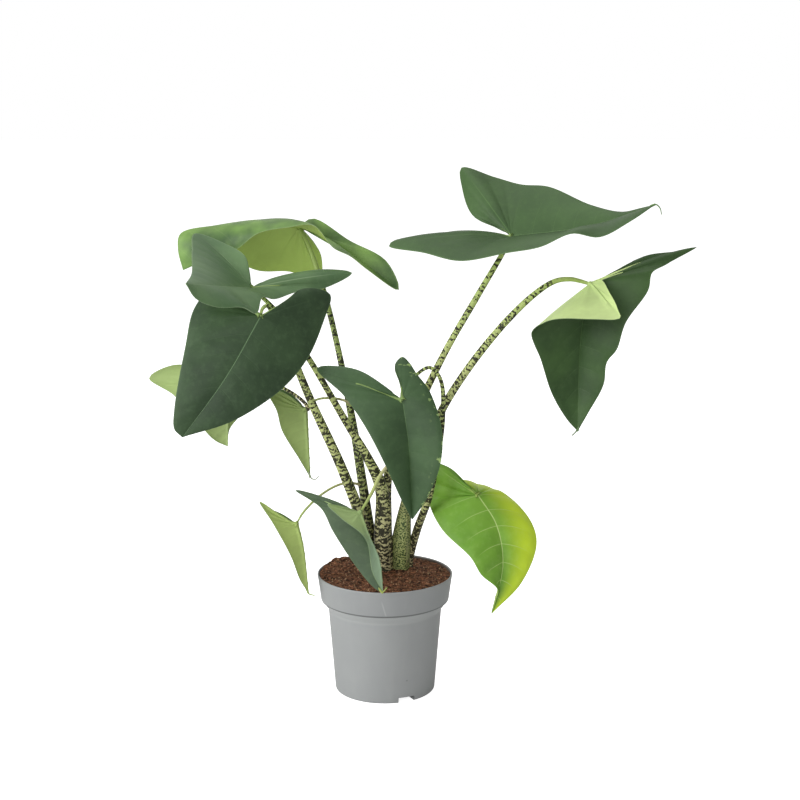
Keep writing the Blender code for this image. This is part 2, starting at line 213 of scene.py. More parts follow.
class Value:
    # one output of a node, with arithmetic that adds Math nodes
    def __init__(self, paint, socket):
        self.paint = paint
        self.socket = socket

    def maths(self, operation, *others, first=None):
        values = [self, *others] if first is None else [first, self]
        return self.paint.node("Math", dict(operation=operation), dict(enumerate(values)))

    def __add__(self, other):
        return self.maths("ADD", other)

    def __radd__(self, other):
        return self.maths("ADD", other)

    def __sub__(self, other):
        return self.maths("SUBTRACT", other)

    def __rsub__(self, other):
        return self.maths("SUBTRACT", first=other)

    def __mul__(self, other):
        return self.maths("MULTIPLY", other)

    def __rmul__(self, other):
        return self.maths("MULTIPLY", other)

    def __truediv__(self, other):
        return self.maths("DIVIDE", other)

    def __abs__(self):
        return self.maths("ABSOLUTE")

    def ramp(self, low, high, toLow=0.0, toHigh=1.0):
        # a smooth step from toLow at low to toHigh at high
        sockets = {"Value": self, "From Min": low, "From Max": high, "To Min": toLow, "To Max": toHigh}
        return self.paint.node("MapRange", dict(interpolation_type="SMOOTHSTEP"), sockets)

    def parts(self):
        split = self.paint.node("SeparateXYZ", {}, {"Vector": self})
        return [Value(self.paint, out) for out in split.socket.node.outputs]


class Paint:
    # a material with one Principled shader
    def __init__(self, name, roughness=0.5, specular=0.3, glow=0.0):
        self.material = bpy.data.materials.new(name)
        self.material.use_nodes = True
        self.tree = self.material.node_tree
        self.shader = self.tree.nodes["Principled BSDF"]
        self.shader.inputs["Roughness"].default_value = roughness
        self.shader.inputs["Specular IOR Level"].default_value = specular
        self.shader.inputs["Emission Strength"].default_value = glow

    def node(self, kind, settings, sockets, output=0):
        made = self.tree.nodes.new("ShaderNode" + kind)
        for key, value in settings.items():
            setattr(made, key, value)
        for key, value in sockets.items():
            self.feed(made.inputs[key], value)
        return Value(self, made.outputs[output])

    def feed(self, socket, value):
        if isinstance(value, Value):
            self.tree.links.new(value.socket, socket)
        elif socket.type == "RGBA" and len(value) == 3:
            socket.default_value = (*value, 1)
        else:
            socket.default_value = value

    def blend(self, amount, low, high):
        return self.node("Mix", dict(data_type="RGBA"), {0: amount, 6: low, 7: high}, 2)

    def noise(self, at, scale, detail=2.0, rough=0.5):
        sockets = {"Vector": at, "Scale": scale, "Detail": detail, "Roughness": rough}
        return self.node("TexNoise", {}, sockets)

    def stretched(self, at, factors):
        return self.node("VectorMath", dict(operation="MULTIPLY"), {0: at, 1: factors})

    def objectAt(self):
        return self.node("TexCoord", {}, {}, 3)

    def noted(self, name):
        return self.node("Attribute", dict(attribute_name=name), {}, 1)

    def surface(self, colour=None, roughness=None, height=None, depth=0.0003, strength=1.0):
        if colour is not None:
            self.feed(self.shader.inputs["Base Color"], colour)
        if roughness is not None:
            self.feed(self.shader.inputs["Roughness"], roughness)
        if height is not None:
            bump = self.node("Bump", {}, {"Height": height, "Distance": depth, "Strength": strength})
            self.feed(self.shader.inputs["Normal"], bump)
        return self.material


studio = dict(
    cameraAt=(0.019, -2.05, 0.784), cameraDown=11.35, lens=76.2, sensor=36, farthest=100,
    sky=0.42, backdrop=1.0, floorSize=30, floorColour=(0.75, 0.75, 0.75), floorLift=0.88,
    lamps=dict(
        above=dict(at=(-0.3, 0.2, 2.6), aim=(0, 0, 0.4), size=2.2, power=20),
        left=dict(at=(-2.4, -1.1, 1.2), aim=(0, 0, 0.3), size=1.6, power=52),
        front=dict(at=(-0.7, -2.9, 1.2), aim=(0, 0, 0.3), size=1.8, power=34),
        behind=dict(at=(0.1, 2.6, 1.3), aim=(0, 0, 0.5), size=2.8, power=14)))


def makeCamera():
    camera = bpy.data.cameras.new("camera")
    camera.lens = studio["lens"]
    camera.sensor_width = studio["sensor"]
    camera.clip_end = studio["farthest"]
    obj = bpy.data.objects.new("camera", camera)
    obj.location = studio["cameraAt"]
    obj.rotation_euler = (math.radians(90 - studio["cameraDown"]), 0, 0)
    bpy.context.scene.collection.objects.link(obj)
    bpy.context.scene.camera = obj


def makeLight():
    for name, lamp in studio["lamps"].items():
        data = bpy.data.lights.new(name, "AREA")
        data.shape = "DISK"
        data.size = lamp["size"]
        data.energy = lamp["power"]
        obj = bpy.data.objects.new(name, data)
        obj.visible_camera = False
        obj.location = lamp["at"]
        towards = Vector(lamp["aim"]) - Vector(lamp["at"])
        obj.rotation_euler = towards.to_track_quat("-Z", "Y").to_euler()
        bpy.context.scene.collection.objects.link(obj)
    world = bpy.data.worlds.new("studio")
    world.use_nodes = True
    tree = world.node_tree
    tree.nodes.clear()
    out = tree.nodes.new("ShaderNodeOutputWorld")
    mix = tree.nodes.new("ShaderNodeMixShader")
    path = tree.nodes.new("ShaderNodeLightPath")
    tree.links.new(path.outputs["Is Camera Ray"], mix.inputs[0])
    for number, strength in ((1, studio["sky"]), (2, studio["backdrop"])):
        background = tree.nodes.new("ShaderNodeBackground")
        background.inputs["Color"].default_value = (1, 1, 1, 1)
        background.inputs["Strength"].default_value = strength
        tree.links.new(background.outputs[0], mix.inputs[number])
    tree.links.new(mix.outputs[0], out.inputs[0])
    bpy.context.scene.world = world
    bpy.context.scene.view_settings.view_transform = "Standard"


def makeFloor():
    bpy.ops.object.select_all(action="DESELECT")
    bpy.ops.mesh.primitive_plane_add(size=studio["floorSize"], location=(0, 0, 0))
    floor = bpy.context.object
    floor.name = "floor"
    paint = Paint("white floor", 0.9, 0.1, glow=studio["floorLift"])
    paint.feed(paint.shader.inputs["Base Color"], studio["floorColour"])
    seen = paint.node("LightPath", {}, {})  # only what the camera sees directly glows
    paint.feed(paint.shader.inputs["Emission Color"], paint.blend(seen, (0, 0, 0), (1, 1, 1)))
    floor.data.materials.append(paint.material)


pot = dict(
    height=151.0, rimRadius=85.0, wall=1.5, sides=144, baseRadius=62.8, corner=2.6,
    bodyTopRadius=71.3, bodyTop=106.0, collarRadius=80.2, collarBottom=119.5, collarSlope=0.15,
    flare=((0.5, 1.4), (1.6, 3.2), (3.8, 6.0), (5.6, 8.8), (6.6, 11.0), (7.0, 12.6)),  # from the body's top
    crease=((78.5, 119.5), (79.1, 119.5), (79.4, 118.2), (80.2, 118.1), (80.6, 119.0)),
    hubRadius=30, notchAngles=(-64, 56, 176), notchWidth=22, notchHeight=7, notchDepth=30, notchBeyond=30,
    drains=6, drainTurn=0.41, drainRadius=4, drainCircle=38, drainDepth=12,
    mouldAt=(2.0, 119.4), mouldLean=0.27, gateAt=(27.6, 29.2), grey=(0.265, 0.275, 0.275),
    # the colours here include a painted shade for the collar's inner wall and a painted highlight for the
    # mould line
    light=(0.31, 0.32, 0.315), innerWallShade=(0.075, 0.05, 0.035), seamHighlight=(0.62, 0.63, 0.62),
    gateMark=(0.1, 0.1, 0.1))


def potOutline(inset):
    # the outside from the base's edge up to the collar's lower edge, moved in by inset
    corner = pot["corner"]
    out = []
    for step in range(6):
        angle = math.radians(-90 + 85 * step / 5)
        radius = pot["baseRadius"] + 0.2 - corner + corner * math.cos(angle)
        out.append((radius - inset, corner + corner * math.sin(angle) + inset * (5 - step) / 5))
    out.append((pot["bodyTopRadius"] - inset, pot["bodyTop"]))
    for outwards, up in pot["flare"]:
        out.append((pot["bodyTopRadius"] + outwards - inset, pot["bodyTop"] + up + inset * 0.4))
    return out


def lathe(name, outline, sides):
    # turned solid: the first ring is drawn and filled, then pulled up the outline ring by ring
    bpy.ops.object.select_all(action="DESELECT")
    foot = (0, 0, outline[0][1] * mm)
    bpy.ops.mesh.primitive_circle_add(vertices=sides, radius=outline[0][0] * mm, location=foot)
    obj = bpy.context.object
    obj.name = name
    editing(obj)
    bpy.ops.mesh.edge_face_add()
    for (radius, height), (nextRadius, nextHeight) in zip(outline, outline[1:]):
        rise = (0, 0, (nextHeight - height) * mm)
        bpy.ops.mesh.extrude_region_move(TRANSFORM_OT_translate=dict(value=rise))
        grow = nextRadius / radius
        bpy.ops.transform.resize(value=(grow, grow, 1), center_override=(0, 0, 0))
    bpy.ops.mesh.select_all(action="SELECT")
    bpy.ops.mesh.normals_make_consistent(inside=False)
    doneEditing()
    settle(obj)
    return obj


def block(name, size, reach, angle):
    # a box from reach outwards, turned about the pot's axis
    bpy.ops.object.select_all(action="DESELECT")
    bpy.ops.mesh.primitive_cube_add(size=1, location=((reach + size[0] / 2) * mm, 0, 0))
    obj = bpy.context.object
    obj.name = name
    obj.scale = [length * mm for length in size]
    settle(obj)
    editing(obj)
    bpy.ops.transform.rotate(value=-math.radians(angle), orient_axis="Z", center_override=(0, 0, 0))
    doneEditing()
    return obj


def potPlastic():
    paint = Paint("satin grey plastic", specular=0.4)
    at = paint.objectAt()
    x, y, z = [part * 1000 for part in at.parts()]
    cloud = paint.noise(at, 22, 3)
    grit = paint.noise(at, 900, 3)
    dust = paint.noise(paint.stretched(at, (1, 1, 0.25)), 60, 4).ramp(0.52, 0.75)
    colour = paint.blend(cloud.ramp(0.35, 0.7) * 0.35 + dust * 0.25, pot["grey"], pot["light"])
    # the faint ridge that the mould leaves down the front of the collar, with a painted highlight along it,
    # and its gate mark near the foot
    mouldX, mouldZ = pot["mouldAt"]
    line = (1 - abs(x - mouldX + (z - mouldZ) * pot["mouldLean"]).ramp(0.4, 1.4)) * y.ramp(-60, -70)
    line = line * z.ramp(118, 122) * (1 - z.ramp(133, 142))
    # painted highlight: the mould line is painted lighter than the plastic around it
    colour = paint.blend(line * 0.16, colour, pot["seamHighlight"])
    gateX, gateZ = pot["gateAt"]
    gate = ((x - gateX) * (x - gateX) + (z - gateZ) * (z - gateZ)).ramp(1.2, 0.4)
    colour = paint.blend(gate * y.ramp(-40, -50) * 0.6, colour, pot["gateMark"])
    # the body is a little lighter than the collar, with painted light from below that is strongest on the
    # flare, and a painted shade line in the groove under the collar's lip
    # painted light: the body is lighter below the collar, most of all on the downward-facing flare
    paintedLightBelowCollar = z.ramp(117.8, 116.8) * (0.14 + z.ramp(103, 109) * 0.36)
    colour = paint.blend(paintedLightBelowCollar, colour, [c * 1.35 for c in pot["light"]])
    # painted shade: a dark line in the groove under the collar's lip
    paintedGrooveShade = z.ramp(116.3, 117.4) * z.ramp(120, 119.2)
    colour = paint.blend(paintedGrooveShade * 0.75, colour, [c * 0.3 for c in pot["grey"]])
    # painted shade on the inside of the collar above the mix, tinted with the soil's reflected brown
    radius = (x * x + y * y).maths("SQRT")
    outer = pot["collarRadius"] + (z - pot["collarBottom"]) * pot["collarSlope"]
    innerWallShade = (radius - outer).ramp(-0.6, -1.1) * z.ramp(125, 130) * z.ramp(150.8, 149.2)
    colour = paint.blend(innerWallShade * 0.92, colour, pot["innerWallShade"])
    roughness = 0.4 + cloud * 0.12 + dust * 0.08 + innerWallShade * 0.3
    return paint.surface(colour, roughness, grit * 0.5 + cloud * 0.6 + line, 0.00012, 0.5)


def makePot():
    wall, top, rim, hub = pot["wall"], pot["height"], pot["rimRadius"], pot["hubRadius"]
    outside = [(hub, 0), *potOutline(0), *pot["crease"], (rim - 0.4, top - 2.4), (rim, top - 1.2)]
    outside += [(rim - 0.15, top - 0.5), (rim - 0.6, top)]
    shell = lathe("pot_shell", outside, pot["sides"])
    inner = rim - wall
    inside = [(hub, wall), *potOutline(wall), (inner - 2.2, top - 8), (inner - 0.9, top - 2)]
    inside += [(inner - 0.5, top - 0.7), (inner, top + 0.05), (inner, top + 5)]
    hollow = lathe("hollow", inside, pot["sides"])
    reach = pot["baseRadius"] - pot["notchDepth"]
    length, width, height = pot["notchDepth"] + pot["notchBeyond"], pot["notchWidth"], pot["notchHeight"] * 2
    for angle in pot["notchAngles"]:
        takeAway(shell, block("notch", (length, width, height), reach, angle))
        roof = (length + wall, width + 2 * wall, height + 2 * wall)
        takeAway(hollow, block("roof", roof, reach - wall, angle))
    takeAway(shell, hollow)
    for number in range(pot["drains"]):
        angle = 2 * math.pi * (number + pot["drainTurn"]) / pot["drains"]
        circle = pot["drainCircle"] * mm
        bpy.ops.object.select_all(action="DESELECT")
        bpy.ops.mesh.primitive_cylinder_add(
            vertices=32, radius=pot["drainRadius"] * mm, depth=pot["drainDepth"] * mm,
            location=(circle * math.cos(angle), circle * math.sin(angle), 0))
        takeAway(shell, bpy.context.object)
    mergeDoubles(shell)
    smooth(shell, 30)
    shell.data.materials.clear()
    shell.data.materials.append(potPlastic())
    place(shell, "pot", "pot")
    print("pot:", len(shell.data.polygons), "faces")


mix = dict(
    top=144.2, radius=82.0, mound=2.2, moundSpread=42, dish=0.8, lumps=1.9, lumpSize=9,
    grit=0.5, gritSize=2.6, heapAngle=146, heapHeight=7, heapWidth=26, heapFrom=40, columns=180, rows=60,
    skin=4, crumbs=2300, fibres=900, scatterRadius=80.5, seed=7,
    black=(0.014, 0.007, 0.004), dark=(0.04, 0.018, 0.01), brown=(0.17, 0.075, 0.04),
    red=(0.33, 0.14, 0.075), husk=(0.4, 0.22, 0.11), straw=(0.72, 0.48, 0.28))


def mixHeight(x, y):
    # the bumpy top of the mix at x, y, in millimetres
    spot = Vector((x, y, 3.0))
    radius = math.hypot(x, y)
    turned = math.degrees(math.atan2(y, x)) - mix["heapAngle"]
    turned = (turned + 180) % 360 - 180
    outwards = max(0, (radius - mix["heapFrom"]) / 42) ** 2
    heap = mix["heapHeight"] * math.exp(-(turned / mix["heapWidth"]) ** 2) * outwards
    rough = noise.fractal(spot / mix["lumpSize"], 1.0, 2.0, 3) * mix["lumps"]
    rough = rough + noise.noise(spot / mix["gritSize"]) * mix["grit"]
    mound = mix["mound"] * math.exp(-(radius / mix["moundSpread"]) ** 2)
    return mix["top"] + mound + rough + heap - mix["dish"] * (radius / mix["radius"]) ** 2


def mixSkin(name, dark, light, straw):
    paint = Paint(name, 0.95, 0.12)
    at = paint.objectAt()
    patch = paint.noise(at, 160, 4)
    speck = paint.noise(at, 620, 5, 0.65)
    each = paint.noise(at, 300, 1)
    strand = paint.noise(paint.stretched(at, (1, 0.22, 1)), 560, 3)
    colour = paint.blend(patch.ramp(0.36, 0.64), dark, light)
    colour = paint.blend(each.ramp(0.5, 0.66) * 0.8, colour, mix["red"])
    colour = paint.blend(strand.ramp(0.58, 0.68) * straw, colour, mix["straw"])
    colour = paint.blend(speck.ramp(0.5, 0.36) * 0.85, colour, mix["black"])
    return paint.surface(colour, None, speck + patch * 0.6, 0.0012, 1.0)


def makeMix():
    dice = random.Random(mix["seed"])
    gap = pot["wall"] + 0.4
    outline = [(pot["hubRadius"], gap), *potOutline(gap), (80.4, 138), (81.4, 142)]
    plug = lathe("potting_mix_top", outline, 96)
    for angle in pot["notchAngles"]:
        reach = pot["baseRadius"] - pot["notchDepth"] - gap
        length = pot["notchDepth"] + pot["notchBeyond"] + gap
        size = (length, pot["notchWidth"] + 2 * gap, (pot["notchHeight"] + gap) * 2)
        takeAway(plug, block("recess", size, reach, angle))
    columns, rows = mix["columns"], mix["rows"]
    shares = np.linspace(0, 1, rows + 1) ** 0.8
    around = np.linspace(0, 2 * math.pi, columns + 1)
    spots = np.zeros((columns + 1, rows + 1, 3))
    for column, angle in enumerate(around):
        for row, share in enumerate(shares):
            x, y = mix["radius"] * share * math.cos(angle), mix["radius"] * share * math.sin(angle)
            spots[column, row] = (x * mm, y * mm, mixHeight(x, y) * mm)
    spots[-1] = spots[0]
    cap, _, _ = gridSheet("cap", spots)
    mergeDoubles(cap)
    modify(cap, "SOLIDIFY", thickness=mix["skin"] * mm, offset=-1)
    editing(cap)
    bpy.ops.mesh.normals_make_consistent(inside=False)
    doneEditing()
    for obj in (plug, cap):
        obj.data.materials.clear()
        obj.data.materials.append(mixSkin("coir and peat", mix["dark"], mix["brown"], 0.5))
    crumb = crumbShape()
    crumb.data.materials.append(mixSkin("crumbs", mix["brown"], mix["red"], 0.7))
    crumbs = scatter(crumb, mix["crumbs"], dice, crumbSize, "crumbs")
    strand = strandShape()
    strand.data.materials.append(mixSkin("fibres", mix["husk"], mix["straw"], 0.9))
    fibres = scatter(strand, mix["fibres"], dice, fibreSize, "fibres")
    whole = joined("potting_mix_top", plug, cap, crumbs, fibres)
    smooth(whole, 45)
    place(whole, "potting_mix", "potting_mix")
    print("potting mix:", len(whole.data.polygons), "faces")


def crumbShape():
    bpy.ops.object.select_all(action="DESELECT")
    bpy.ops.mesh.primitive_ico_sphere_add(subdivisions=1, radius=1)
    crumb = bpy.context.object
    for vertex in crumb.data.vertices:
        vertex.co *= 1 + 0.45 * noise.noise(vertex.co * 1.7)
    return crumb


def crumbSize(dice):
    # a crumb's size in millimetres, and how far of its height it is sunk
    size = 0.6 + 1.9 * dice.random() ** 2.2
    return (size, size * dice.uniform(0.6, 1), size * dice.uniform(0.45, 0.9)), 0.15


def fibreSize(dice):
    length = dice.uniform(2.5, 7.5)
    return (length, length * 0.6, length * 0.5), 0.3


def strandShape():
    # a thin curved strand, one metre long until it is scattered
    bends = [(-500, -100, 0, 70), (-200, 60, 60, 100), (150, -40, 120, 80), (500, 100, 0, 50)]
    return tube("strand", curveThrough(bends, 2), 4, 1, caps=0)


def scatter(shape, count, dice, sizes, name):
    # copies of the shape over the mix, each with its own mesh, joined as one
    copies = []
    for _ in range(count):
        radius = mix["scatterRadius"] * math.sqrt(dice.random())
        angle = dice.uniform(0, 2 * math.pi)
        x, y = radius * math.cos(angle), radius * math.sin(angle)
        (sx, sy, sz), sink = sizes(dice)
        copy = shape.copy()
        copy.data = shape.data.copy()
        bpy.context.scene.collection.objects.link(copy)
        copy.location = (x * mm, y * mm, (mixHeight(x, y) + sz * (0.5 - sink)) * mm)
        tilts = (dice.uniform(-0.5, 0.5), dice.uniform(-0.5, 0.5))
        copy.rotation_euler = (*tilts, dice.uniform(0, 6.28))
        copy.scale = (sx * mm, sy * mm, sz * mm)
        copies.append(copy)
    bpy.data.objects.remove(shape, do_unlink=True)
    only(*copies)
    bpy.ops.object.transform_apply(location=True, rotation=True, scale=True)
    return joined(name, *copies)


# each stalk's route is x, y, z and diameter; its other values are how its pattern differs
stalks = dict(
    front_left=dict(route=[
        (-22, 14, 138, 15), (-22, 14, 156, 14.6), (-28, 2, 213, 14.6), (-52, -8, 285, 12.5),
        (-91, -20, 378, 10.2), (-117, -34, 449, 7.8), (-133, -43, 486, 5.5), (-139, -50, 497, 4.8),
        (-144, -58, 495, 4.2), (-146, -67, 487.5, 3.4)]),
    top_left=dict(route=[
        (-12, 36, 138, 14), (-12, 36, 156, 14), (-19, 28, 199, 13), (-28, 18, 262, 12),
        (-39, 26, 331, 10), (-54, 46, 406, 8), (-76, 80, 492, 7), (-97, 98, 553, 5.2),
        (-109, 109, 575, 4)], green=0.5, clear=0.8),
    upper_left=dict(route=[
        (-1, 17, 138, 24), (-1, 17, 156, 24), (-2, 12, 197, 23.5), (-4, 7, 257, 16.5), (-21, 2, 298, 12),
        (-51, -2, 351, 9), (-93, -10, 427, 7.2), (-133, -10, 486, 6), (-161, -1, 511.5, 4)]),
    upper_right=dict(route=[
        (4, 42, 138, 12), (4, 42, 156, 12), (3, 31, 205, 12), (6, 18, 283, 11), (29, 8, 335, 10),
        (75, 12, 431, 8.5), (114, 22, 498, 7.8), (146, 34, 551, 6.2), (156.5, 39.5, 570, 4.6)]),
    far_right=dict(route=[
        (18.8, 27, 138, 27), (18.8, 27, 156, 27), (21, 22, 186, 25), (28.3, 15, 242, 14),
        (49, 6, 308, 10.5), (78.5, 0, 374, 10), (131, -2, 450, 9), (180, 0, 501.5, 7.5),
        (208, 4, 519.5, 6.4), (227, 8, 521.5, 5.8), (240.5, 12, 518.5, 5), (251, 10.5, 515.5, 4)],
        fine=True, clear=0.88),
    centre=dict(route=[
        (31, 33, 138, 11), (31, 33, 156, 11), (40, 18, 199, 10.6), (54, -15, 250, 9.2),
        (61, -20, 283, 8.4), (71, -25, 352, 6.4), (70, -27, 397, 5), (63, -30, 413, 4.6),
        (54, -32, 419, 4.4), (40, -33, 411, 4.2), (28, -46, 393, 3.6), (22.3, -59, 384.5, 2.6)], even=True),
    low_front=dict(route=[
        (5, 3, 290, 4.6), (-5, -10, 280, 4.4), (-17, -28, 259, 4.2), (-29.5, -54, 243.5, 2.6)], plain=1.0),
    hidden_left=dict(route=[
        (-93, -20, 364, 4), (-97, -16, 371, 4.4), (-106, -14, 379, 4.2), (-124, -12, 390, 4),
        (-159, -8, 404, 3.6), (-183, -13, 405, 3.2), (-195.5, -10, 397.5, 2.4)], even=True),
    small_left=dict(route=[
        (-44, 28, 362, 3.2), (-50, 28, 366, 3.2), (-68, 25, 370, 3), (-86, 22, 368, 2.8),
        (-98.5, 20, 356.5, 2)], even=True, plain=0.6),
    low_left=dict(route=[
        (-30, 16, 259, 3.4), (-36, 12, 263, 3.4), (-54, 7, 264, 3.2), (-79, -8, 254, 3),
        (-101, -24, 235, 2.9), (-108.7, -29.5, 222.5, 2)], even=True, plain=0.75),
    low_right=dict(route=[
        (40, 12, 246, 5), (44, 14, 255, 5), (51, 14, 276, 4.6), (65, 18, 283, 4.2), (84, 15, 271, 4),
        (97, 9, 259, 3.8), (107, -1, 249, 3.6), (115.5, -9, 253.5, 2.4)], plain=0.6))

zebra = dict(
    pale=(0.46, 0.5, 0.2), paleTop=(0.38, 0.48, 0.15), beige=(0.56, 0.5, 0.29), dark=(0.012, 0.011, 0.006),
    green=(0.16, 0.24, 0.05), fineDark=(0.045, 0.075, 0.022), fineGround=(0.4, 0.44, 0.17), period=5.6,
    denseFoot=0.3, denseTop=-0.22, denseEven=0.1)


def stalkSkin(name, values):
    paint = Paint("banded stalk " + name, specular=0.25)
    at = paint.noted("straight")
    share, turned, _ = paint.noted("stalkShare").parts()
    z = at.parts()[2]
    small = 1.5 if isThin(values) else 1.0
    # broken bands across the stalk: a wandering ripple, broken up by blotches wider than they are tall
    warp = paint.noise(paint.stretched(at, (1, 1, 0.5)), 260 * small, 2) - 0.5
    wander = paint.noise(paint.stretched(at, (1, 1, 0.4)), 90, 1) - 0.5
    blotch = paint.noise(paint.stretched(at, (1, 1, 2.1)), 150 * small, 2, 0.45) - 0.5
    crumbly = paint.noise(at, 520, 3, 0.6) - 0.5
    phase = (z / mm / zebra["period"] * small + warp * 2.4 + wander * 2.2) * (2 * math.pi)
    bands = phase.maths("SINE")
    denseTop = zebra["denseEven"] if "even" in values else zebra["denseTop"]
    dense = share.ramp(0.05, 0.95, zebra["denseFoot"], denseTop)
    dark = (bands * 0.42 + blotch * 4.2 + crumbly * 1.2 + dense).ramp(-0.1, 0.18)
    clear = values.get("clear", 0.94)  # past here the stalk has no dark bands
    dark = dark * (1 - values.get("plain", 0.0)) * share.ramp(clear + 0.06, clear)
    mottle = paint.noise(at, 420, 4, 0.6)
    ground = paint.blend(share.ramp(0.0, 0.42), zebra["beige"], zebra["pale"])
    ground = paint.blend(share.ramp(0.45, 0.95), ground, zebra["paleTop"])
    greenness = mottle.ramp(0.5, 0.72) * 0.3 + values.get("green", 0.0)
    ground = paint.blend(greenness, ground, zebra["green"])
    colour = paint.blend(dark * 0.96, ground, zebra["dark"])
    if "fine" in values:  # the sheath at the foot is finely mottled in green
        fine = paint.noise(paint.stretched(at, (1, 1, 1.3)), 560, 2, 0.5)
        sheath = paint.blend(fine.ramp(0.44, 0.56), zebra["fineGround"], zebra["fineDark"])
        colour = paint.blend(share.ramp(0.26, 0.16), colour, sheath)
    edge = abs(turned - 0.5).ramp(0.475, 0.495) * share.ramp(0.4, 0.28)
    colour = paint.blend(edge * 0.6, colour, zebra["beige"])
    return paint.surface(colour, 0.4 + mottle * 0.15, crumbly * 0.6 - dark * 0.4, 0.0003, 0.5)


def isThin(values):
    return values["route"][0][3] < 8


def makeStalks():
    for name, values in stalks.items():
        sides, sheath = (16, 0.0) if isThin(values) else (28, 0.22)
        lift = 100 * len(name)  # so that each stalk reads its own stretch of the pattern
        obj = tube("stalk_skin_" + name, values["route"], sides, 10, sheath=sheath, lift=lift)
        obj.data.materials.append(stalkSkin(name, values))
        only(obj)
        bpy.ops.object.shade_smooth()
        place(obj, "stalk_" + name, "stalk")
    print("stalks:", len(stalks))


